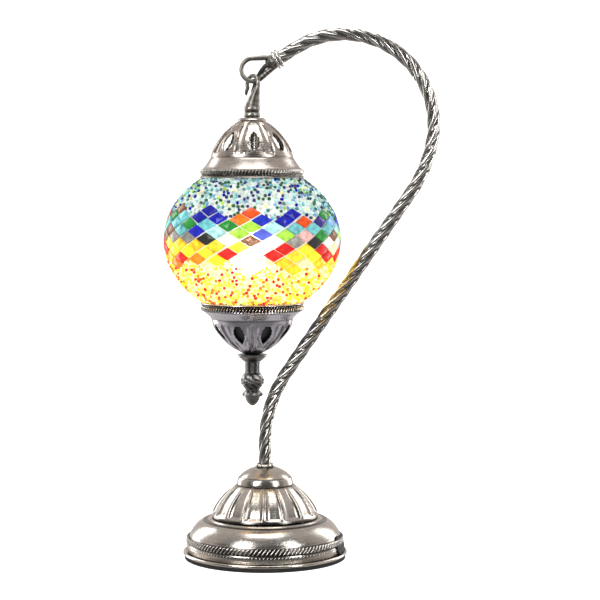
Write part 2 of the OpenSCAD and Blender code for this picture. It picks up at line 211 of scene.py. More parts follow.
SILVER = metal("silver_plate", (0.60, 0.55, 0.50), (0.42, 0.40, 0.37), (0.10, 0.10, 0.085),
               rough=(0.12, 0.28), brush=0.2)
# Painted highlight: a brighter copy of the silver plate, for the rolled rim and the bead at the
# arm's foot.
SILVER_HIGHLIT = metal("silver_highlit", (0.68, 0.64, 0.59), (0.52, 0.49, 0.45), (0.2, 0.19, 0.17),
                      rough=(0.12, 0.24), brush=0.12)
# Painted highlight: a brighter copy of the plate, used for the rope ribs on the base and on both
# caps.
RIB_METAL_HIGHLIT = metal("rib_metal_highlit", (0.80, 0.77, 0.73), (0.62, 0.59, 0.55), (0.3, 0.28, 0.26),
                  rough=(0.10, 0.22), brush=0.05)
ARM_METAL = metal("arm_plate", (0.66, 0.64, 0.61), (0.50, 0.48, 0.46), (0.20, 0.195, 0.19),
                  rough=(0.14, 0.24), brush=0.04, patches=60)
CAST = metal("cast_dark", (0.40, 0.38, 0.35), (0.25, 0.235, 0.21), (0.04, 0.04, 0.035),
             rough=(0.25, 0.45), brush=0.3, patches=120)
CAP_WARM = metal("cap_warm", (0.52, 0.47, 0.43), (0.34, 0.30, 0.27), (0.08, 0.07, 0.06))
CAP_COOL = metal("cap_cool", (0.66, 0.66, 0.74), (0.50, 0.50, 0.57), (0.14, 0.14, 0.16),
                 rough=(0.14, 0.28), brush=0.15)
FINIAL_METAL = metal("finial_cast", (0.42, 0.41, 0.41), (0.27, 0.265, 0.26), (0.05, 0.05, 0.05),
                     rough=(0.22, 0.42), brush=0.2, patches=150)
ZINC = metal("zinc_steel", (0.62, 0.63, 0.62), (0.5, 0.5, 0.47), (0.25, 0.24, 0.2), shade_grime=0)
NICKEL = metal("bulb_nickel", (0.75, 0.73, 0.68), (0.66, 0.65, 0.6), (0.3, 0.3, 0.28),
               rough=(0.12, 0.25), brush=0.08, shade_grime=0)
IRON = metal("weight_iron", (0.14, 0.14, 0.14), (0.08, 0.08, 0.08), (0.03, 0.03, 0.03),
             rough=(0.5, 0.8), brush=0.6, shade_grime=0)
MOULDED = plastic("moulded_black", (0.008, 0.008, 0.009), 0.6, 1500, 0.00012)
PAD = plastic("pad_foam", (0.01, 0.01, 0.01), 0.85, 900, 0.0003, 0.7)
TERMINAL = plastic("terminal_cream", (0.75, 0.72, 0.64), 0.5)
HOLDER = plastic("holder_black", (0.02, 0.02, 0.022), 0.45)
FLEX = plastic("flex_black", (0.016, 0.016, 0.018), 0.28)

TILE_GLASS = glass_colour("tile_glass", (0.15, 0.55), 0.27, 0.4, milk=0.04)
BEAD_COOL = glass_colour("bead_glass_cool", (0.05, 0.12), 0.2, 0.6, 0.06, 900, 0.0002)
BEAD_WARM = glass_colour("bead_glass_warm", (0.5, 0.6), 0.2, 0.7, 0.06, 900, 0.0002)


def grout_material():
    mat, tree, bsdf = new_material("grout_white")
    warm = height(tree, 0.24, 0.212)
    pale = blend_colour(tree, cloud(tree, 120, 4), (0.62, 0.68, 0.64), (0.80, 0.84, 0.80))
    glow = blend_colour(tree, warm, (1.0, 1.0, 0.98), (1.0, 0.80, 0.38))
    wire(tree, bsdf, {"Base Color": blend_colour(tree, warm, pale, (0.95, 0.75, 0.35)),
                      "Emission Color": glow, "Roughness": 0.7,
                      "Emission Strength": height_glow(tree, 0.12, 0.40)})
    bump(tree, bsdf, noise(tree, 700, 3), 0.5, 0.0004)
    see_through(tree, bsdf, 0.5)
    return mat


def clear_glass():
    mat, tree, bsdf = new_material("globe_glass")
    wire(tree, bsdf, {"Base Color": (0.95, 0.97, 0.97),
                      "Roughness": cloud(tree, 90, 3, 0.03, 0.09)})
    bump(tree, bsdf, noise(tree, 40, 2), 0.1, 0.0006)
    see_through(tree, bsdf, 0.95)
    return mat


def lit_bulb(name, colour, strength, share):
    mat, tree, bsdf = new_material(name)
    wire(tree, bsdf, {"Base Color": (0.9, 0.85, 0.75), "Roughness": 0.25,
                      "Emission Color": blend_colour(tree, cloud(tree, 70, 2), colour,
                                                     (1, 0.93, 0.8)),
                      "Emission Strength": strength})
    see_through(tree, bsdf, share)
    return mat


GROUT = grout_material()
GLOBE_GLASS = clear_glass()
BULB_OUTER = lit_bulb("bulb_frosted", (1, 0.86, 0.6), 2.0, 0.7)
BULB_CORE = lit_bulb("bulb_core", (1, 0.95, 0.86), 90.0, 0.0)


# ---- mesh helpers
def smooth(mesh):
    mesh.polygons.foreach_set("use_smooth", [True] * len(mesh.polygons))


def build(name, verts, faces, material, body, slot, replaces=(), shade_grime=None, tint=None,
          sharp=40):
    """A smooth mesh from millimetre points, placed in the frame and riding on a CAD body."""
    mesh = bpy.data.meshes.new(name)
    mesh.from_pydata([(x * MM, y * MM, z * MM) for x, y, z in verts], [], faces)
    mesh.validate()
    smooth(mesh)
    if sharp:
        mesh.set_sharp_from_angle(angle=math.radians(sharp))
    if shade_grime is None and tint is None:
        shade_grime = [0.0] * len(verts)
    # The darkening values become a per-point attribute: painted shade in recesses, and on some
    # pieces a darker tone.
    if shade_grime is not None:
        layer = mesh.attributes.new("shade_grime", "FLOAT", "POINT")
        layer.data.foreach_set("value", np.array(shade_grime, np.float32))
    if tint is not None:
        layer = mesh.color_attributes.new("tint", "FLOAT_COLOR", "POINT")
        layer.data.foreach_set("color", np.array(tint, np.float32).ravel())
    mesh.materials.append(material)
    obj = in_scene(name, mesh)
    if body:
        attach(obj, body)
    if replaces:
        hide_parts(*replaces)
    return obj


def bands(base, rows, count, wrap=True):
    """Quads between rows of count points each, the first row starting at base."""
    faces = []
    for i in range(rows - 1):
        for j in range(count if wrap else count - 1):
            a, b = base + i * count + j, base + i * count + (j + 1) % count
            faces.append((a, b, b + count, a + count))
    return faces


def button(base, rows, count):
    """Faces of a closed form: rows of points from its back, then its middle point."""
    top, last = base + rows * count, base + (rows - 1) * count
    faces = bands(base, rows, count)
    faces += [(last + j, last + (j + 1) % count, top) for j in range(count)]
    return faces + [tuple(base + j for j in reversed(range(count)))]


def lathe(profile, n=128, x0=0.0, closed=False, shape=None, shade_grime=None, start=0.0):
    """Revolves (r, z) points. shape(r, z, angle) moves a point; the darkening function, called the
    same way, paints shade on it, and on some pieces a darker tone.
    A point on the axis becomes a pole."""
    verts, faces, shading, rings = [], [], [], []
    for r, z in profile:
        ring = []
        if abs(r) < 1e-6:
            verts.append((x0, 0, z))
            shading.append(shade_grime(r, z, 0) if shade_grime else 0.0)
            ring = [len(verts) - 1]
        else:
            for j in range(n):
                a = start + TAU * j / n
                rr, zz = shape(r, z, a) if shape else (r, z)
                verts.append((x0 + rr * math.cos(a), rr * math.sin(a), zz))
                shading.append(shade_grime(r, z, a) if shade_grime else 0.0)
                ring.append(len(verts) - 1)
        rings.append(ring)
    pairs = list(zip(rings, rings[1:]))
    if closed:
        pairs.append((rings[-1], rings[0]))
    for a, b in pairs:
        for j in range(n):
            k = (j + 1) % n
            quad = (a[j % len(a)], b[j % len(b)], b[k % len(b)], a[k % len(a)])
            face = tuple(dict.fromkeys(quad))
            if len(face) > 2:
                faces.append(face)
    return verts, faces, shading


def centre_x(body):
    return LX if body == "lantern" else 0.0


def turned(name, line, n, material, body, slot, replaces=(), closed=True, shape=None,
           shade_grime=None, start=0.0, sharp=40):
    """A piece turned from its outline, on the lantern's centreline or on the stand's."""
    v, f, d = lathe(line, n, centre_x(body), closed, shape, shade_grime, start)
    return build(name, v, f, material, body, slot, replaces, d, sharp=sharp)


def smooth_line(points, per=6):
    """Catmull-Rom through the points, per steps between neighbours."""
    pts = [np.array(p, float) for p in points]
    pts = [2 * pts[0] - pts[1]] + pts + [2 * pts[-1] - pts[-2]]
    out = []
    for i in range(1, len(pts) - 2):
        a, b, c, d = pts[i - 1:i + 3]
        for s in range(per):
            t = s / per
            out.append(0.5 * (2 * b + (c - a) * t + (2 * a - 5 * b + 4 * c - d) * t * t
                              + (3 * b - a - 3 * c + d) * t ** 3))
    out.append(pts[-2])
    return [tuple(p) for p in out]


def frames(path, up=(0, 1, 0)):
    """Two steady sides at each point of a line, square to it."""
    pts = np.array(path, float)
    tan = np.gradient(pts, axis=0)
    tan /= np.linalg.norm(tan, axis=1)[:, None]
    side = np.cross(up, tan[0])
    side /= np.linalg.norm(side)
    out = []
    for t in tan:
        side = side - t * side.dot(t)
        side /= np.linalg.norm(side)
        out.append((side.copy(), np.cross(t, side)))
    return out


def tube(path, section, up=(0, 1, 0), shade_grime=None):
    """Closed tube along a path. section(i) gives the (u, v) points round the path there."""
    verts, shading = [], []
    count = len(section(0))
    for i, (p, (u, v)) in enumerate(zip(path, frames(path, up))):
        for j, (a, b) in enumerate(section(i)):
            verts.append(tuple(np.array(p) + a * u + b * v))
            shading.append(shade_grime(i, j) if shade_grime else 0.0)
    rows = len(path)
    faces = bands(0, rows, count)
    faces.append(tuple(reversed(range(count))))
    faces.append(tuple((rows - 1) * count + j for j in range(count)))
    return verts, faces, shading


def circle(r, n=16):
    return [polar(r, TAU * j / n) for j in range(n)]


def joined(*parts):
    """Several (verts, faces, values) lists as one."""
    verts, faces, extra = [], [], []
    for v, f, e in parts:
        base = len(verts)
        verts += v
        faces += [tuple(i + base for i in face) for face in f]
        extra += e
    return verts, faces, extra


def bulge(a, b, power, last=90, steps=24):
    """A quarter superellipse from its widest point up to an angle."""
    out = []
    for i in range(steps + 1):
        t = math.radians(last * i / steps)
        out.append((a * math.cos(t) ** (2 / power), b * math.sin(t) ** (2 / power)))
    return out


def lift(points, z):
    return [(r, h + z) for r, h in points]


def inset(points, t):
    out = []
    for i in range(len(points)):
        a, b = points[max(i - 1, 0)], points[min(i + 1, len(points) - 1)]
        dx, dy = b[0] - a[0], b[1] - a[1]
        long = math.hypot(dx, dy) or 1
        out.append((points[i][0] - t * dy / long, points[i][1] + t * dx / long))
    return out


def refined(line, step):
    """The same line with points no farther apart than about a step."""
    out = []
    for a, b in zip(line, line[1:]):
        n = max(1, round(math.dist(a, b) / step))
        out += [(a[0] + (b[0] - a[0]) * i / n, a[1] + (b[1] - a[1]) * i / n)
                for i in range(n)]
    return out + [line[-1]]


def sheeted(outer, t=0.8):
    """A closed profile of sheet metal from its outer line, which runs upwards."""
    return outer + list(reversed(inset(outer, t)))


def polar(r, a):
    return r * math.cos(a), r * math.sin(a)


def apart(a, b):
    """The angle from b to a, between minus and plus half a turn."""
    return (a - b + math.pi) % TAU - math.pi


def ease(t):
    t = min(1.0, max(0.0, t))
    return t * t * (3 - 2 * t)


def peak(x, width):
    return math.exp(-(x / width) ** 2)


def flute(a, count):
    """0 in the middle of each of count channels round an axis, 1 on the ridge between."""
    return abs(2 * ((a / TAU * count) % 1) - 1)


def torus_line(r, z, wide, tall, first=0, last=359, step=24):
    """Outline of a bead of metal that runs round an axis."""
    return [(r + wide * math.cos(t), z + tall * math.sin(t))
            for t in np.radians(np.arange(first, last, step))]


# ---- base
FLUTES = 16
DOME_R = 39.8
SHELL_R = 58.0


def base_shell():
    foot = 5.25
    wall = [(57.4, foot), (57.5, foot + 1.2), (57.9, foot + 2.6), (58.0, 8.6)]
    shoulder = [(r + SHELL_R - 14, z) for r, z in lift(bulge(14, 19.5, 1.7, 84, 36), 9)]
    ledge = smooth_line([(45.3, 28.3), (43.6, 28.2), (42.3, 28.7), (41.2, 29.6), (39.5, 29.9),
                         (36.5, 29.8)], 4)
    profile = refined(wall + shoulder + ledge, 0.8)

    def shape(r, z, a):
        """A shallow rolled groove above and below the rope band."""
        if r < 50:
            return r, z
        return r - 0.35 * peak(z - 17.2, 0.5) - 0.3 * peak(z - 11.1, 0.5), z

    # Painted shade: dark on the shell behind the rope band and the row of dots, so the gaps between
    # them read dark, and along the crease of the ledge.
    def shade_grime(r, z, a):
        shading = 0.9 * (11.2 < z < 16.6) + 0.6 * (9.0 < z < 10.4) if r > 50 else 0
        return min(1, shading + 0.9 * peak(z - 28.2, 0.5) * (r < 46))

    turned("shell_spun", sheeted(profile), 256, SILVER, "stand", "antique_silver",
           ["base_shell"], shape=shape, shade_grime=shade_grime)


def rope_band(name, r, z, tall, count, lean, out, body, slot, wide=0.27, draft=0.0):
    """A ring of short slanted ridges, each a rounded bead of metal."""
    x0 = centre_x(body)
    verts, faces, shading = [], [], []
    around, along = 6, 7
    pitch = TAU / count
    for k in range(count):
        base = len(verts)
        for i in range(along):
            s = i / (along - 1) * 2 - 1
            a0 = k * pitch + lean * s
            half = wide * pitch * math.sqrt(max(0.03, 1 - s ** 4))
            for j in range(around + 1):
                q = j / around * 2 - 1
                rr = r + draft * s + out * math.sqrt(max(0, 1 - q * q)) * \
                    math.sqrt(max(0.0, 1 - s ** 4)) - 0.25
                a = a0 + half * q
                verts.append((x0 + rr * math.cos(a), rr * math.sin(a), z + tall / 2 * s))
                # Painted shade: each ridge darker towards its sides, into the gaps between ridges.
                shading.append(0.35 * abs(q))
        n = around + 1
        faces += bands(base, along, n, wrap=False)
        back = [base + i * n for i in range(along)] + \
            [base + i * n + around for i in reversed(range(along))]
        faces.append(tuple(reversed(back)))
        faces.append(tuple(base + j for j in range(around, -1, -1)))
        faces.append(tuple(base + (along - 1) * n + j for j in range(n)))
    build(name, verts, faces, RIB_METAL_HIGHLIT, body, slot, (), shading, sharp=60)


def rolled_rim():
    """Bottom plate with the rolled rim round it, in the highlit copy of the silver plate."""
    rim = torus_line(59.8, 4.0, 1.2, 1.2, -160, 171, 15)
    plate = [(20, 2.8), (58, 2.8)]
    inner = [(57.2, 3.8), (21, 3.8), (20, 4.8), (20, 9.0), (19, 10.0), (5.05, 10), (5.05, 9),
             (18, 9), (19, 8), (19, 2.8)]
    # Painted shade on the plate's upper face inside the rim, in the gap where the shell sits.
    turned("plate_rim", plate + rim + inner, 192, SILVER_HIGHLIT, "stand", "antique_silver",
           ["bottom_plate"], shade_grime=lambda r, z, a: 0.8 * (r < 57.6 and z > 3.3))


def base_dome():
    outer = [(DOME_R - 0.2, 30.95)]
    outer += [p for p in lift(bulge(DOME_R, 33, 1.65, 53.5, 64), 29) if p[1] > 31.3]
    outer.append((9, outer[-1][1]))

    def along(z):
        return ease((z - 32.2) / 2.6) * (1 - 0.55 * ease((z - 48) / 6))

    def shape(r, z, a):
        if r < 14:
            return r, z
        q = flute(a, FLUTES)
        channel = 1 - (q / 0.8) ** 4 if q < 0.8 else 0
        depth = 1.6 * along(z) * channel
        crest = 0.35 * along(z) * peak(q - 0.87, 0.06)
        return r - depth + crest, z

    # Painted shade: dark along the edges of each channel, in the small groove on each ridge, and in
    # the creases at the dome's foot and near its top.
    def shade_grime(r, z, a):
        q = flute(a, FLUTES)
        edge = 0.75 * peak(q - 0.74, 0.06) * along(z) + 0.5 * peak(q - 1.0, 0.05) * along(z)
        return min(1, edge + 0.9 * peak(z - 31.3, 0.8) + 0.5 * peak(z - 54.5, 1.0))

    turned("dome_fluted", sheeted(outer), FLUTES * 40, SILVER, "stand", "antique_silver",
           ["base_dome"], shape=shape, shade_grime=shade_grime, start=TAU / FLUTES / 2)


def base_cap():
    outer = smooth_line([(20.9, 54.6), (21.0, 55.4), (20.6, 57.4), (19.9, 59.4), (18.6, 61.0),
                         (16.6, 62.8), (14.2, 64.4), (11.6, 65.8), (9.2, 66.7), (6.5, 67.1),
                         (5.1, 67.1)], 5)
    # Painted shade along the cap's creases, at its foot and round the hole for the arm.
    turned("cap_spun", sheeted(outer), 128, SILVER, "stand", "antique_silver", ["base_cap"],
           shade_grime=lambda r, z, a: 0.8 * peak(z - 60.2, 0.25) + 0.9 * peak(r - 6.5, 1.3)
           + 0.6 * peak(z - 54.7, 0.3))
    # Painted shade on the bead's inner part, in the creases where it meets the cap and the arm.
    turned("arm_foot_bead", torus_line(5.5, 68.4, 1.5, 1.5), 96, SILVER_HIGHLIT, "stand",
           "antique_silver", ["arm_collar"],
           shape=lambda r, z, a: (r + 0.25 * math.cos(12 * a) * (r > 5.5), z),
           shade_grime=lambda r, z, a: 0.7 * peak(r - 5.2, 0.5))


base_shell()
rope_band("shell_rope", 58.0, 14.0, 5.0, 116, 0.034, 0.95, "stand", "antique_silver",
          draft=-0.25)
rope_band("shell_dots", 58.0, 9.7, 1.3, 132, 0.010, 0.5, "stand", "antique_silver")
rolled_rim()
base_dome()
base_cap()

# ---- arm
ARM_START = (0.0, 64.0, 90.0)
# (length,) for a straight part, (radius, turn in degrees) for a bend
ARM_SEGMENTS = [(21,), (94, -34.5), (161.5,), (92, 22.5), (2,), (66, 133), (20,)]


def arm_line(step=1.2):
    """Points along the arm's centreline, in the XZ plane, and the end's heading."""
    x, z, h = ARM_START
    pts = [(x, 0.0, z)]
    for seg in ARM_SEGMENTS:
        t = math.radians(h)
        if len(seg) == 1:
            n = max(1, round(seg[0] / step))
            for i in range(1, n + 1):
                pts.append((x + seg[0] * i / n * math.cos(t), 0.0,
                            z + seg[0] * i / n * math.sin(t)))
        else:
            r, turn = seg
            side = 1 if turn > 0 else -1
            cx, cz = x - side * r * math.sin(t), z + side * r * math.cos(t)
            n = max(2, round(abs(math.radians(turn)) * r / step))
            for i in range(1, n + 1):
                g = math.radians(h + turn * i / n)
                pts.append((cx + side * r * math.sin(g), 0.0, cz - side * r * math.cos(g)))
            h += turn
        x, _, z = pts[-1]
    return pts, h


arm_path, arm_heading = arm_line()
ARM_END = np.array(arm_path[-1])
ARM_DIR = np.array((math.cos(math.radians(arm_heading)), 0, math.sin(math.radians(arm_heading))))
STRANDS = 5
STRAND_R, STRAND_C = 1.62, 3.36      # radius of a strand, and of the circle it runs on
FILLER_R, FILLER_C = 0.42, 4.12
ARM_PITCH = 68.0                     # length of one turn of the twist
ARM_SIDES = 120


def rope_section():
    """Outline of the twisted bundle: the farthest of all wires at each angle."""
    wires = []
    for k in range(STRANDS):
        a = TAU * k / STRANDS
        wires.append((a, STRAND_C, STRAND_R, 0.0))
        for off in (-0.12, 0.12):
            wires.append((a + TAU / STRANDS / 2 + off, FILLER_C, FILLER_R, 0.25))
    out, shading = [], []
    for j in range(ARM_SIDES):
        t = TAU * j / ARM_SIDES
        best, dark = 3.3, 1.0
        for a, c, r, d in wires:
            off = t - a
            s = r * r - (c * math.sin(off)) ** 2
            if s > 0 and math.cos(off) > 0:
                reach = c * math.cos(off) + math.sqrt(s)
                if reach > best:
                    best, dark = reach, d
        out.append(best)
        # Painted shade: darker where the outline dips into the grooves between the strands, and on
        # the thin fillers that lie in them.
        shading.append(min(1.0, dark + 1.1 * max(0.0, 4.6 - best)))
    return out, shading


def twisted_arm():
    radii, shade_share = rope_section()
    length = [0.0]
    for a, b in zip(arm_path, arm_path[1:]):
        length.append(length[-1] + math.dist(a, b))

    def section(i):
        turn = TAU * length[i] / ARM_PITCH
        return [polar(r, TAU * j / ARM_SIDES + turn) for j, r in enumerate(radii)]

    v, f, d = tube(arm_path, section, shade_grime=lambda i, j: shade_share[j])
    build("arm_twisted", v, f, ARM_METAL, "stand", "twisted_silver", ["arm_tube"], d, sharp=35)


def along_end(points, n=64, shade_grime=None, shape=None):
    """Revolves (r, distance along the arm's end) round the arm's end axis."""
    v, f, d = lathe(points, n, closed=True, shade_grime=shade_grime, shape=shape)
    u = np.cross((0, 1, 0), ARM_DIR)
    out = [tuple(ARM_END + ARM_DIR * z + u * x + np.array((0, 1, 0)) * y) for x, y, z in v]
    return out, f, d


def arm_end():
    # Painted shade on each bead's inner part, in the creases between the beads and against the arm.
    v, f, d = joined(*(
        along_end(torus_line(5.4, back, 1.55, 1.4), 72, lambda r, z, a: 0.9 * peak(r - 5.0, 0.5),
                  lambda r, z, a: (r + 0.12 * math.cos(18 * a) * (r > 5.5), z))
        for back in (-4.2, -1.5)))
    build("arm_end_beads", v, f, ARM_METAL, "stand", "twisted_silver", ["arm_end_collar"], d)


twisted_arm()
arm_end()

EYE_C = np.array((-8.6, 0.0, 360.0))
EYE_R = 8.3


def teardrop_eye():
    """Cast eye: a round bow, a plain upper branch and a thicker, ribbed lower one."""
    d = ARM_END - EYE_C
    far = math.hypot(d[0], d[2]) - 2.2
    lean = math.atan2(d[2], d[0])
    root = 3.9
    reach = math.hypot(far, root)
    open_a = math.atan2(root, far) + math.acos(EYE_R / reach)
    straight = math.sqrt(reach ** 2 - EYE_R ** 2)

    def at(a, out=0.0):
        t = lean + a
        return EYE_C + (EYE_R + out) * np.array((math.cos(t), 0, math.sin(t)))

    def off(a, s):
        t = lean + a
        side = np.array((-math.sin(t), 0, math.cos(t)))
        return at(a) + side * s

    upper = [off(open_a, -straight * s / 8) for s in range(8, 0, -1)]
    bow = [at(open_a + (TAU - 2 * open_a) * i / 40) for i in range(41)]
    lower = [off(-open_a, straight * s / 14) for s in range(1, 15)]
    line = [tuple(p) for p in upper + bow + lower]
    total = len(line)
    radii, shading = [], []
    for i in range(total):
        t = i / (total - 1)
        r = 1.65 + 0.35 * ease((0.16 - t) / 0.16) + 0.75 * ease((t - 0.68) / 0.15)
        # Painted shade in the grooves between the ribs of the lower branch; elsewhere a slight even
        # darkening.
        if t > 0.7:
            r *= 1 + 0.10 * math.cos(i * 2.1)
            shading.append(0.5 - 0.4 * math.cos(i * 2.1))
        else:
            shading.append(0.1)
        radii.append(min(r, 2.1))
    v, f, dd = tube(line, lambda i: circle(radii[i], 20), shade_grime=lambda i, j: shading[i])
    hub = [(2.1, 0.1), (5.5, 0.1), (5.65, 0.6), (5.5, 2.2), (4.9, 2.9), (4.2, 4.1), (3.1, 5.8),
           (2.8, 6.1), (2.1, 6.1)]
    boss = along_end(hub, 48, lambda r, z, a: 0.45 + 0.3 * math.sin(5 * a + z),
                     lambda r, z, a: (r + 0.18 * math.sin(7 * a + 2.3 * z) * (r > 2.5), z))
    v, f, dd = joined((v, f, dd), boss)
    build("eye_cast", v, f, CAST, "stand", "hook_iron", ["arm_end_eye"], dd, sharp=50)


teardrop_eye()

HOOK_TURN = math.radians(-50)
HOOK_BEND_R = 6.5
HOOK_BEND_Z = EYE_C[2] - EYE_R + 4.1 - HOOK_BEND_R


def hook_point(u, z):
    x = LX + (EYE_C[0] - LX) * (1 if z > 345 else 0.5) + u * math.cos(HOOK_TURN)
    return (x, u * math.sin(HOOK_TURN), z)


def crook():
    bend = [(HOOK_BEND_R * math.cos(a), HOOK_BEND_Z + HOOK_BEND_R * math.sin(a), 1.5)
            for a in np.radians(np.arange(-10, 201, 14))]
    path = [(0, 333.4, 5.5), (1.0, 336, 5.0), (2.2, 339, 4.3), (3.4, 341.8, 3.5),
            (4.6, 344.4, 2.8)] + bend + [(-6.9, 344.6, 1.35), (-7.3, 342.4, 0.9),
                                         (-7.45, 341.6, 0.45)]
    line = smooth_line([(*hook_point(u, z), r) for u, z, r in path], 4)
    pts = [p[:3] for p in line]
    v, f, d = tube(pts, lambda i: circle(line[i][3], 20),
                   up=(-math.sin(HOOK_TURN), math.cos(HOOK_TURN), 0),
                   shade_grime=lambda i, j: 0.25 + 0.2 * math.sin(i * 0.9))
    bell = smooth_line([(4.05, 325.25), (5.2, 325.3), (6.1, 326.2), (6.3, 327.4), (6.0, 328.6),
                        (5.3, 329.3), (5.3, 329.8), (6.0, 330.6), (6.25, 331.8), (5.9, 333.0),
                        (5.5, 333.7)], 4)
    bell += [(0, 333.7), (0, 330.5), (4.05, 330.5)]
    # Painted shade in the waist between the bell's two beads and round its top.
    turned_bell = lathe(bell, 64, LX, True, shade_grime=lambda r, z, a: 0.85 * peak(z - 329.5, 0.7)
                        + 0.6 * peak(z - 333.6, 0.5))
    v, f, d = joined((v, f, d), turned_bell)
    build("hook_crook", v, f, CAST, "lantern", "hook_iron", ["crook_hook"], d, sharp=50)


crook()

LEAD_R, LEAD_SPLIT_Z = 1.8, 354
FLEX_ROUTE = [tuple(ARM_END + ARM_DIR * 3.0), tuple(ARM_END + ARM_DIR * 6.2),
              (0.4, 0.1, 362.4), (-0.4, 0.9, 361.6), (-1.4, 2.1, 360.4), (-2.8, 3.1, 358.4),
              (-4.4, 3.9, 355.6), (-6, 4.1, 351.8), (-7.3, 3.6, 347.6),
              (-8.3, 2.8, 343.8), (-8.6, 2.0, 340.5), (-8.7, 1.2, 337.5)]


def hook_lead():
    """The lead in two lengths, split at one height."""
    line = smooth_line(FLEX_ROUTE, 5)
    split = min(range(len(line)), key=lambda i: abs(line[i][2] - LEAD_SPLIT_Z))
    v, f, d = tube(line[:split + 1], lambda i: circle(LEAD_R))
    upper = build("hook_flex_upper", v, f, FLEX, None, "flex_black", ["hook_flex"], d)
    p3(*line[split])
    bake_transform(upper)
    v, f, d = tube(line[split:], lambda i: circle(LEAD_R))
    lower = build("hook_flex_lower", v, f, FLEX, None, "flex_black", (), d)
    p3(*line[split])
    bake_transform(lower)


hook_lead()

# ---- lantern
CAP_A, CAP_POWER = 30.2, 1.5
CAP_RIM_R = 38.4
BAND_H = 6.5
CAP_SECTORS = 8
CAP_SHEET = 0.8


def cap_line(skirt, dome_b):
    """The cap's outer line from its rim's edge to its collar, z from the rim's edge."""
    base = BAND_H + skirt
    band = [(CAP_RIM_R - back, z) for back, z in
            ((0.9, 0.0), (0.3, 0.3), (0.1, 0.9), (0.5, 1.4), (1.8, 1.8), (1.8, 6.0), (1.4, BAND_H))]
    flare = [(CAP_RIM_R - 1.6 - (CAP_RIM_R - 1.6 - CAP_A - 0.9) * t ** 0.8,
              BAND_H + (skirt - 1.0) * t) for t in (0.15, 0.3, 0.45, 0.6, 0.75, 0.9, 1.0)]
    crease = [(CAP_A + 0.5, base - 0.5), (CAP_A + 0.1, base)]
    dome = lift(bulge(CAP_A, dome_b, CAP_POWER, 72, 48), base + 0.4)
    return band + flare + crease + dome + [(4.1, base + dome_b - 1.0)]


def leaf(w, h, teeth=5, fine=3):
    """Serrated leaf outline as (across, up) points, point up."""
    n = 2 * teeth
    side = []
    for i in range(n * fine + 1):
        t = i / (n * fine)
        k = abs((i / fine) % 2 - 1)
        env = w / 2 * math.sin(math.pi * (0.10 + 0.90 * t)) ** 0.8 if t < 1 else 0.02
        side.append((env * (0.85 + 0.15 * k), h * (t - 0.5)))
    return side + [(-x, y) for x, y in reversed(side)]


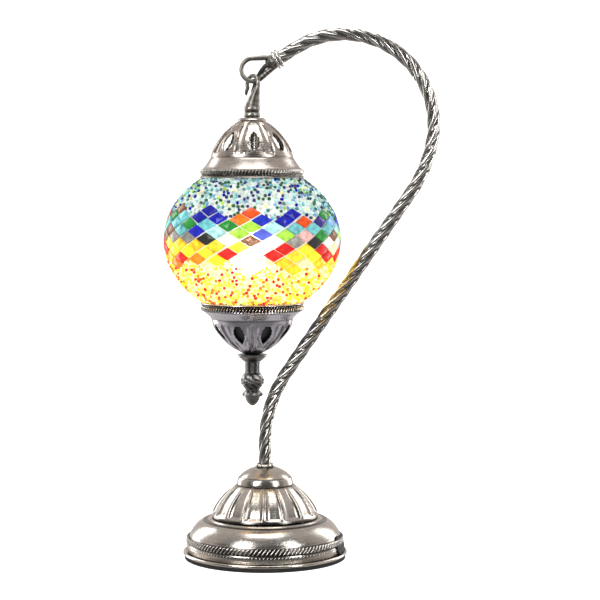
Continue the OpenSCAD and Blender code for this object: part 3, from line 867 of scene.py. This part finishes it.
def pierced_cap(name, skirt, dome_b, leaf_z, edge_z, flip, turn, material, slot, node):
    """Spun, fluted and pierced cap. One eighth is meshed round its leaf opening in (angle,
    length along the outline), mapped on to the cap and repeated eight times."""
    fine = refined(cap_line(skirt, dome_b), 0.7)
    run = [0.0]
    for a, b in zip(fine, fine[1:]):
        run.append(run[-1] + math.dist(a, b))
    run = np.array(run)
    rs, zs = np.array(fine).T
    dome_foot = run[int(np.argmin(np.abs(zs - (BAND_H + skirt + 0.4))))]
    mid = run[int(np.argmin(np.abs(zs - (BAND_H + skirt + leaf_z))))]
    top = run[-1]

    def along(s, values):
        return float(np.interp(s, run, values))

    at_mid = along(mid, rs)
    wide, tall = 8.6, 17.0
    half = math.pi / CAP_SECTORS
    hole = [(x / at_mid, mid + y) for x, y in leaf(wide, tall)]

    def inside(q, grow=0.0):
        sx, sy = 1 + grow / (wide / 2), 1 + grow / (tall / 2)
        x, y = q[0] / sx, mid + (q[1] - mid) / sy
        hit = False
        for (x1, y1), (x2, y2) in zip(hole, hole[1:] + hole[:1]):
            if (y1 > y) != (y2 > y) and x < (x2 - x1) * (y - y1) / (y2 - y1) + x1:
                hit = not hit
        return hit

    cols = 24
    us = [half * (2 * i / cols - 1) for i in range(cols + 1)]
    grid = []
    for s in run:
        for u in us:
            border = abs(u) > half - 1e-9 or s in (run[0], run[-1])
            if border or not inside((u, s), 0.45):
                grid.append((u, float(s)))
    start = len(grid)
    grid += hole
    edges = [(start + i, start + (i + 1) % len(hole)) for i in range(len(hole))]
    got = delaunay_2d_cdt([Vector(p) for p in ((u * at_mid, s) for u, s in grid)], edges, [], 0,
                          1e-6)
    flat = [(p.x / at_mid, p.y) for p in got[0]]
    tris = [tuple(face) for face in got[2]
            if not inside(np.mean([flat[i] for i in face], axis=0))]

    def relief(u, s):
        """Height of the pattern over the plain cap, and the painted shade there."""
        r = along(s, rs)
        x = u * r
        up = ease((s - dome_foot - 1.5) / 3.0) * (1 - ease((s - top + 13) / 8.0))
        gap = (half - abs(u)) * r
        width = 3.3 * (0.35 + 0.65 * min(1, r / 27.0))
        channel = -1.25 * up * max(0.0, 1 - (gap / width) ** 2) ** 0.7 if gap < width else 0.0
        lip = 0.45 * up * peak(gap - width - 0.4, 0.5)
        y = (s - mid) / (tall / 2 + 0.2)
        leaf_half = wide / 2 * max(0.0, 1 - abs(y) ** 1.7) if abs(y) < 1 else 0.0
        border = 0.35 * peak(abs(x) - leaf_half - 0.7, 0.7) if abs(y) < 1.12 else 0.0
        # Painted shade: along the channels' edges, in the crease at the dome's foot, towards the
        # collar end, and in the band behind the ribs.
        dark = 0.55 * up * peak(gap - width + 0.5, 0.5) + 0.5 * peak(s - dome_foot + 0.3, 0.7)
        dark += 0.35 * (s > top - 6) * ease((s - top + 6) / 4)
        dark += 0.95 * (1.3 < along(s, zs) < 6.0)
        return channel + lip + border, min(1.0, dark)

    verts, shading = [], []
    normal_r, normal_z = np.gradient(zs, run), -np.gradient(rs, run)
    for thick in (0.0, CAP_SHEET):
        for u, s in flat:
            r, z, nr, nz = (along(s, values) for values in (rs, zs, normal_r, normal_z))
            long = math.hypot(nr, nz) or 1
            h, dark = relief(u, s)
            h -= thick
            verts.append((r + h * nr / long, u, z + h * nz / long))
            # Painted shade: the inner face of the sheet is dark.
            shading.append(0.9 if thick else dark)
    n = len(flat)
    cell = tris + [tuple(n + i for i in reversed(t)) for t in tris]
    sides = dict.fromkeys((a, b) for t in tris for a, b in zip(t, t[1:] + t[:1]))
    for a, b in sides:
        if (b, a) in sides:
            continue
        ua, ub = flat[a][0], flat[b][0]
        if abs(abs(ua) - half) < 1e-6 and abs(abs(ub) - half) < 1e-6 and ua * ub > 0:
            continue
        cell.append((b, a, n + a, n + b))
    out_v, out_f, out_d = [], [], []
    for k in range(CAP_SECTORS):
        base = len(out_v)
        for r, u, z in verts:
            x, y = polar(r, turn + TAU * k / CAP_SECTORS + u)
            out_v.append((LX + x, y, edge_z - z if flip else edge_z + z))
        out_f += [tuple(base + i for i in (reversed(t) if flip else t)) for t in cell]
        out_d += shading
    obj = build(name, out_v, out_f, material, "lantern", slot, [node], out_d, sharp=None)
    weld(obj, 0.02)
    return obj


def weld(obj, reach):
    """Joins the eight sectors along their shared edges."""
    import bmesh
    bm = bmesh.new()
    bm.from_mesh(obj.data)
    bmesh.ops.remove_doubles(bm, verts=bm.verts, dist=reach * MM)
    bmesh.ops.recalc_face_normals(bm, faces=bm.faces)
    bm.to_mesh(obj.data)
    bm.free()
    smooth(obj.data)
    obj.data.set_sharp_from_angle(angle=math.radians(45))


TOP_EDGE, BOTTOM_EDGE = 281.0, 190.0
FRONT = -math.pi / 2
pierced_cap("top_cap_pierced", 8.5, 30.0, 12.6, TOP_EDGE, False, FRONT + math.radians(5),
            CAP_WARM, "cap_bronze", "top_cap")
pierced_cap("bottom_cap_pierced", 5.8, 27.5, 11.0, BOTTOM_EDGE, True,
            FRONT + math.radians(24.5), CAP_COOL, "cap_pewter", "bottom_cap")
for name, edge, up, slot in (("top", TOP_EDGE, 1, "cap_bronze"),
                             ("bottom", BOTTOM_EDGE, -1, "cap_pewter")):
    rope_band(f"{name}_rope", 36.75, edge + up * 4.6, 3.9, 98, 0.02, 1.8, "lantern", slot, 0.25)
    rope_band(f"{name}_dots", 36.9, edge + up * 2.3, 0.9, 108, 0.010, 1.1, "lantern", slot)


# Painted shade on the collar's upper face round its middle, where the bell sits.
turned("top_collar", [(4.1, 324.9), (8.4, 324.9), (9.8, 324.3), (10.4, 323.4), (10.1, 322.4),
                      (8.9, 321.6), (4.1, 321.6)], 96, CAP_WARM, "lantern", "cap_bronze",
       shade_grime=lambda r, z, a: 0.9 * peak(r - 8.2, 0.8) * (z > 323))


def finial():
    tip = [(0, 112.65), (1.2, 113.0), (2.4, 113.8), (3.6, 115.0), (4.6, 116.6), (5.2, 118.2)]
    petals = [(5.6, 119.4), (6.9, 120.1), (7.2, 121.3), (6.7, 122.7), (5.7, 123.8)]
    waist = [(5.2, 124.4), (5.4, 125.2)]
    bulb = [(6.6, 126.8), (7.9, 128.8), (8.5, 131.4), (8.2, 133.8), (7.2, 135.8), (6.2, 136.8)]
    neck = [(5.6, 137.6), (5.5, 138.8), (5.5, 144.4), (5.7, 145.4)]
    top = [(6.6, 146.2), (7.6, 146.9), (8.4, 147.7), (9.5, 148.5), (10.5, 149.5),
           (10.7, 150.6), (10.3, 151.2), (4.1, 151.2)]

    def shape(r, z, a):
        if 119.8 < z < 123.6:
            return r * (1 + 0.09 * math.cos(6 * a) * peak(z - 121.3, 1.4)), z
        if 125.5 < z < 136.6:
            carve = 0.05 * math.cos(8 * a) + 0.045 * math.cos(8 * a + 2.4 * (z - 127))
            return r * (0.97 + carve * math.sin(math.pi * (z - 125.5) / 11.1)), z
        if 137.4 < z < 145.4:
            return r * (1.0 - 0.17 * (1 - flute(a, 8)) ** 1.5), z
        return r, z

    # Painted shade: dark in the carved bulb's grooves, in the neck's flutes and in the creases at
    # the waist, where the neck meets the bulb and where it meets the top; the rest gets a slight
    # even darkening.
    def shade_grime(r, z, a):
        shading = 0.25
        if 125.5 < z < 136.6:
            shading += 0.6 * (0.5 - 0.5 * math.cos(8 * a + 1.2 * (z - 127)))
        if 137.4 < z < 145.4:
            shading += 0.65 * (1 - flute(a, 8)) ** 2
        shading += 0.6 * peak(z - 124.0, 1.2) + 0.7 * peak(z - 137.0, 0.6) + 0.5 * peak(z - 147.2, 0.5)
        return min(1, shading)

    line = smooth_line(tip + petals + waist + bulb + neck + top, 4)
    line = [(max(r, 0), z) for r, z in line] + [(4.1, 144.2), (0, 144.2)]
    turned("finial_turned", line, 128, FINIAL_METAL, "lantern", "cap_pewter", ["finial"], False,
           shape, shade_grime, sharp=50)


finial()

# ---- globe
GLOBE_A, GLOBE_B, GLOBE_Z = 65.4, 56.0, 235.5
TILE_COUNT, TILE_ROWS = 24, 9
TILE_T, GROUT_T = 1.6, 1.2
TILE_W, TILE_H = 16.2, 9.2
MERIDIAN_R = 52                # the curve from top to bottom under a tile
ROW_PITCH, ROWS_MID = 4.9, 237.1
TILE_TURN = -7.0
ROW_LEAN = 2.7                 # drop of each row towards +X, at the widest line


def globe_r(z, below):
    q = (z - GLOBE_Z) / (GLOBE_B - below)
    return (GLOBE_A - below) * math.sqrt(max(0.0, 1 - q * q))


def globe_slope(z, below):
    """Angle of the surface's outward direction over the horizontal."""
    return math.atan2((z - GLOBE_Z) / (GLOBE_B - below) ** 2,
                      globe_r(z, below) / (GLOBE_A - below) ** 2)


def globe_frame(a, z, below):
    """Point on the globe and its outward, around and up directions."""
    r, slope = globe_r(z, below), globe_slope(z, below)
    out = np.array((math.cos(a) * math.cos(slope), math.sin(a) * math.cos(slope),
                    math.sin(slope)))
    around = np.array((-math.sin(a), math.cos(a), 0))
    up = np.cross(out, around)
    return np.array((LX + r * math.cos(a), r * math.sin(a), z)), out, around, up


PALETTE = dict(
    cobalt=(0.0, 0.005, 0.42), blue=(0.005, 0.03, 0.62), indigo=(0.03, 0.02, 0.22),
    green=(0.01, 0.30, 0.03), orange=(0.95, 0.20, 0.0), redorange=(0.72, 0.07, 0.0),
    red=(0.75, 0.0, 0.0), brown=(0.26, 0.10, 0.04), aqua=(0.16, 0.55, 0.58),
    paleaqua=(0.45, 0.80, 0.80), lime=(0.42, 0.76, 0.06), sky=(0.22, 0.45, 0.72),
    marble=(0.10, 0.14, 0.72),
    white=(0.95, 0.93, 0.88), pink=(0.78, 0.42, 0.40), grey=(0.30, 0.28, 0.25),
    dark=(0.012, 0.012, 0.012), yellow=(1.0, 0.82, 0.02), gold=(1.0, 0.58, 0.01),
    pale=(1.0, 0.90, 0.45), clear=(0.72, 0.84, 0.80),
    navy=(0.03, 0.05, 0.22), bottle=(0.02, 0.13, 0.05), teal=(0.10, 0.30, 0.28))
# Each row's slot, its colours from left to right in front, and what the rest draws from
ROWS = {
    9: ("tiles_blue", "brown cobalt redorange cobalt green", "cobalt blue green redorange sky"),
    8: ("tiles_blue", "green aqua cobalt cobalt orange blue cobalt redorange indigo sky",
        "cobalt blue orange green redorange"),
    7: ("tiles_aqua", "aqua green aqua green lime paleaqua aqua aqua aqua",
        "aqua lime green paleaqua"),
    6: ("tiles_aqua", "brown aqua cobalt paleaqua lime marble lime pink green brown",
        "aqua lime paleaqua green sky brown"),
    5: ("tiles_grey", "grey grey dark white brown white grey dark white",
        "grey white dark brown clear"),
    4: ("tiles_warm", "yellow gold gold yellow yellow white red yellow red pale",
        "gold yellow red pale"),
    3: ("tiles_warm", "yellow yellow yellow red white red yellow yellow red",
        "yellow red gold orange"),
    2: ("tiles_warm", "gold red orange yellow white pale gold pale gold yellow",
        "orange yellow gold red"),
    1: ("tiles_warm", "orange pale white gold", "orange yellow pale red"),
}


def row_z(k, a):
    """Height of a row at an angle: the rows stand slightly askew."""
    return ROWS_MID + (k - (TILE_ROWS + 1) / 2) * ROW_PITCH - ROW_LEAN * math.cos(a)


def row_step(k):
    """The two outermost rows have only every second tile."""
    return 2 if k in (1, TILE_ROWS) else 1


def tile_angle(k, i):
    return math.radians(TILE_TURN + 360 / TILE_COUNT * (i + (k % 2) / 2))


def tile_row(k):
    """Hand-cut lozenges with worn edges, each a little out of true."""
    places = range(0, TILE_COUNT, row_step(k))
    slot, front, rest = ROWS[k]
    front, rest = front.split(), rest.split()
    order = sorted(places, key=lambda i: abs(apart(tile_angle(k, i), FRONT)))
    seen = sorted(order[:len(front)], key=lambda i: apart(tile_angle(k, i), FRONT))
    names = {i: name for i, name in zip(seen, front)}
    verts, faces, tint = [], [], []
    for i in places:
        a = tile_angle(k, i) + math.radians(rng.uniform(-0.35, 0.35))
        zz = row_z(k, a) + rng.uniform(-0.15, 0.15)
        centre, out, around, up = globe_frame(a, zz, TILE_T)
        w = TILE_W / 2 * centre_share(zz) * rng.uniform(0.96, 1.01)
        h = TILE_H / 2 * rng.uniform(0.96, 1.01)
        skew = rng.uniform(-0.25, 0.25)
        corners = [(w, skew), (0.3 * skew, h), (-w, -skew), (-0.3 * skew, -h)]
        outline = rounded(corners, 0.45)
        colour = np.array(PALETTE[names.get(i) or rng.choice(rest)])
        colour = np.clip(colour * rng.uniform(0.82, 1.12), 0, 1)
        base = len(verts)
        levels = [(1.0, -0.9), (1.0, TILE_T - 0.55), (0.97, TILE_T - 0.25),
                  (0.92, TILE_T - 0.1)]
        for scale, lift_mm in levels:
            for x, y in outline:
                drop = (x * x) / (2 * GLOBE_A) + (y * y) / (2 * MERIDIAN_R)
                q = centre + around * x * scale + up * y * scale + out * (lift_mm - drop)
                verts.append(tuple(q))
        verts.append(tuple(centre + out * (TILE_T - 0.04)))
        faces += button(base, len(levels), len(outline))
        tint += [(*colour, 1.0)] * (len(verts) - base)
    build(f"mosaic_row_{k}", verts, faces, TILE_GLASS, "lantern", slot,
          [f"tile_row_{k}"], None, tint, sharp=50)


def centre_share(z):
    return globe_r(z, TILE_T) / GLOBE_A


def rounded(corners, r):
    """Cuts each corner of a polygon with a short arc."""
    out = []
    n = len(corners)
    for i in range(n):
        a, b, c = (np.array(corners[(i + s) % n]) for s in (-1, 0, 1))
        p = b + (a - b) / np.linalg.norm(a - b) * r
        q = b + (c - b) / np.linalg.norm(c - b) * r
        out += [tuple(p), tuple(0.25 * p + 0.5 * b + 0.25 * q), tuple(q)]
    return out


def in_tile(a, z, grow):
    """Whether a point on the globe lies on a tile, or within grow of one."""
    for k in (1, 2, 8, 9):
        dz = abs(z - row_z(k, a))
        w = TILE_W / 2 * centre_share(row_z(k, a))
        for i in range(0, TILE_COUNT, row_step(k)):
            dx = abs(apart(a, tile_angle(k, i))) * globe_r(z, 0)
            if dx / (w + grow * 1.3) + dz / (TILE_H / 2 + grow) < 1:
                return True
    return False


TRIES = 34000                  # throws of a bead at its band
BEAD_SIDES = 8


def beads(name, z0, z1, gap, colours, material, slot, node, seed):
    """Small round beads scattered as close as they go between two heights."""
    draw = random.Random(seed)
    cell = {}
    placed = []
    lengths = np.linspace(z0, z1, 200)
    total = np.cumsum([globe_r(z, 0) / max(0.2, math.cos(globe_slope(z, 0))) for z in lengths])
    total = total / total[-1]
    for _ in range(TRIES):
        z = float(np.interp(draw.random(), total, lengths))
        a = draw.random() * TAU
        p = (*polar(globe_r(z, 0), a), z)
        key = tuple(math.floor(c / gap) for c in p)
        near = any(math.dist(p, q) < gap for step in product((-1, 0, 1), repeat=3)
                   for q in cell.get(tuple(k + s for k, s in zip(key, step)), ()))
        if near or in_tile(a, z, 0.45) or abs(z - row_z(5, a)) < 3 * ROW_PITCH:
            continue
        cell.setdefault(key, []).append(p)
        placed.append((a, z))
    names = [tone for tone, share in colours.items() for _ in range(share)]
    verts, faces, tint = [], [], []
    for a, z in placed:
        centre, out, around, up = globe_frame(a, z, TILE_T)
        size = gap / 2 * draw.uniform(0.86, 1.12)
        colour = np.array(PALETTE[draw.choice(names)])
        colour = np.clip(colour * draw.uniform(0.75, 1.15), 0, 1)
        squeeze = draw.uniform(0.85, 1.15)
        base = len(verts)
        rings = [(0.86, -0.5), (1.0, 0.25), (0.93, 0.85), (0.66, 1.25)]
        for rr, hh in rings:
            for j in range(BEAD_SIDES):
                t = TAU * j / BEAD_SIDES
                q = centre + around * size * rr * math.cos(t) * squeeze \
                    + up * size * rr * math.sin(t) / squeeze + out * hh
                verts.append(tuple(q))
        verts.append(tuple(centre + out * 1.42))
        faces += button(base, len(rings), BEAD_SIDES)
        tint += [(*colour, 1.0)] * (len(verts) - base)
    build(name, verts, faces, material, "lantern", slot, [node], None, tint, sharp=None)


for k in range(1, TILE_ROWS + 1):
    tile_row(k)
beads("beads_upper", 250.0, 280.0, 2.6,
      dict(navy=7, bottle=6, teal=4, clear=12, paleaqua=7, aqua=3, sky=2, lime=1, pale=1, cobalt=1),
      BEAD_COOL, "beads_cool", "bead_band_upper", 11)
beads("beads_lower", 190.8, 224.0, 2.35,
      dict(yellow=8, pale=9, gold=6, orange=3, redorange=1, red=3),
      BEAD_WARM, "beads_warm", "bead_band_lower", 12)


def grout_skin():
    zs = np.linspace(190.7, 280.3, 96)
    outer = [(max(globe_r(z, TILE_T + 0.05), 35.3), z) for z in zs]
    inner = [(max(globe_r(z, TILE_T + GROUT_T), 34.8), z) for z in reversed(zs)]

    def shape(r, z, a):
        ripple = 0.12 * math.sin(23 * a + 0.9 * z) * math.sin(17 * a - 0.6 * z)
        return r + min(0.0, ripple), z

    turned("grout_skin", outer + inner, 192, GROUT, "lantern", "white_grout", ["grout"],
           shape=shape)


grout_skin()
glow_line = [(0, 211.5), (4.0, 212.2), (8.2, 215), (10.4, 219.5), (10.4, 224), (8.5, 229),
             (5, 234), (2.5, 240), (0, 241)]
turned("bulb_glow", smooth_line(glow_line, 3), 48, BULB_CORE, "lantern", "bulb_lit",
       closed=False)

# ---- carried-over nodes
CARRIED = {
    PAD: "base_pad", IRON: "base_weight", TERMINAL: "terminal_block", HOLDER: "lampholder",
    NICKEL: "bulb_base", BULB_OUTER: "bulb_glass", GLOBE_GLASS: "glass_globe",
    # bottom_liner is a black sheet behind the bottom cap's openings, painted shade for the dark
    # seen through them.
    FLEX: "inner_leads arm_lead", MOULDED: "cord_gland bottom_liner",
    ZINC: "arm_nipple nipple_washer nipple_nut lantern_nipple nipple_locknut top_bridge "
          "bottom_bridge bottom_stud",
}
for material, names in CARRIED.items():
    for name in names.split():
        for place in nodes[name].material_slots:
            place.material = material

# ---- floor and light
def sweep_backdrop():
    """Pale floor that curves up into a backdrop far behind the lamp."""
    line = [(-6.0, 0.0), (2.2, 0.0)]
    line += [(2.2 + 1.2 * math.sin(t), 1.2 - 1.2 * math.cos(t))
             for t in np.radians(np.arange(8, 89, 8))]
    line += [(3.4, 1.2), (3.4, 5.0)]
    verts = [(x, y, z - 0.0002) for y, z in line for x in (-6.0, 6.0)]
    faces = [(2 * i, 2 * i + 1, 2 * i + 3, 2 * i + 2) for i in range(len(line) - 1)]
    mesh = bpy.data.meshes.new("floor")
    mesh.from_pydata(verts, [], faces)
    smooth(mesh)
    mat, tree, bsdf = new_material("floor_pale")
    pale = blend_colour(tree, cloud(tree, 4, 2), (0.86, 0.86, 0.86), (0.88, 0.88, 0.875))
    wire(tree, bsdf, {"Base Color": pale, "Roughness": 0.7, "Emission Color": (1, 1, 1),
                      "Emission Strength": 0.75})
    mesh.materials.append(mat)
    floor = in_scene("floor", mesh)
    floor.visible_glossy = False


sweep_backdrop()


def area_light(name, place_at, aim, size, power):
    data = bpy.data.lights.new(name, "AREA")
    data.shape = "RECTANGLE"
    data.size, data.size_y = size
    data.energy = power
    aimed(name, data, place_at, aim)


area_light("key", (-0.85, -1.15, 0.85), (0, 0, 0.18), (0.45, 0.9), 16)
area_light("fill", (0.95, -0.9, 0.7), (0, 0, 0.18), (0.22, 1.0), 9)
area_light("top", (0.0, -0.1, 1.6), (0, 0, 0.2), (0.9, 0.7), 12)
area_light("edge_left", (-1.0, 0.8, 0.4), (0, 0, 0.2), (0.5, 1.4), 9)
area_light("edge_right", (1.05, 0.8, 0.4), (0, 0, 0.2), (0.5, 1.4), 9)


def studio_world():
    """Dark in front with a pale ceiling and ground, and pale beige at the sides and behind."""
    world = bpy.data.worlds.new("studio")
    world.use_nodes = True
    scene.world = world
    tree = world.node_tree
    coords = add(tree, "ShaderNodeTexCoord")
    split = add(tree, "ShaderNodeSeparateXYZ", {0: coords.outputs["Generated"]})
    ramp = add(tree, "ShaderNodeValToRGB",
               {"Fac": spread(tree, split.outputs["Z"], -1.0, 1.0)})
    stops = ramp.color_ramp.elements
    stops[0].position, stops[0].color = 0.30, (0.30, 0.29, 0.28, 1)
    stops[1].position, stops[1].color = 1.0, (0.40, 0.40, 0.40, 1)
    stops.new(0.50).color = (0.055, 0.057, 0.052, 1)
    stops.new(0.72).color = (0.14, 0.14, 0.137, 1)
    behind = add(tree, "ShaderNodeMapRange", interpolation_type="SMOOTHSTEP",
                 inputs={"Value": split.outputs["Y"], "From Min": -0.45, "From Max": 0.10})
    colour = blend_colour(tree, behind.outputs["Result"], ramp.outputs["Color"],
                          (0.78, 0.72, 0.68))
    wire(tree, tree.nodes["Background"], {"Color": colour, "Strength": 1.0})


studio_world()
scene.view_settings.view_transform = "Standard"
